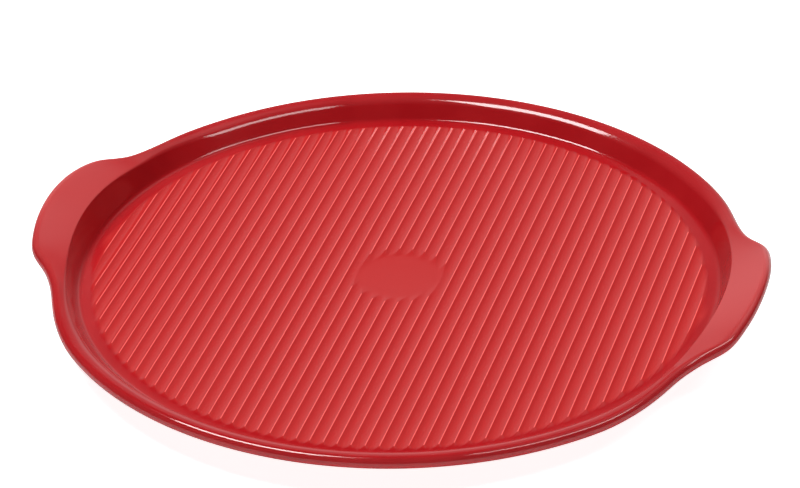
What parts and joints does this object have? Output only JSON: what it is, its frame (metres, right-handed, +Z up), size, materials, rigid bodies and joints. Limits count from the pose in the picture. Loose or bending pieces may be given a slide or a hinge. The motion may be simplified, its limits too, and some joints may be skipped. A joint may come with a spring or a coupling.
{
  "type": "pizza stone",
  "caption": "Round glazed ceramic pizza stone with a ribbed baking floor, a raised rounded rim and rising ear handles; stands on foot rings in an oven or on a table.",
  "frame": {"origin": "centre of the foot plane, the bottom centre of the whole piece", "axes": "+Z up, +X through the middles of the handles, +Y along the ribs"},
  "size_m": [0.384, 0.3654, 0.0353],
  "materials": {
    "bare_clay": "matt, fine grain",
    "red_glaze": "glossy"
  },
  "bodies": {
    "root": {"clay_body": "bare_clay", "top_glaze": "red_glaze", "base_glaze_ring": "red_glaze", "base_glaze_centre": "red_glaze"}
  },
  "joints": []
}
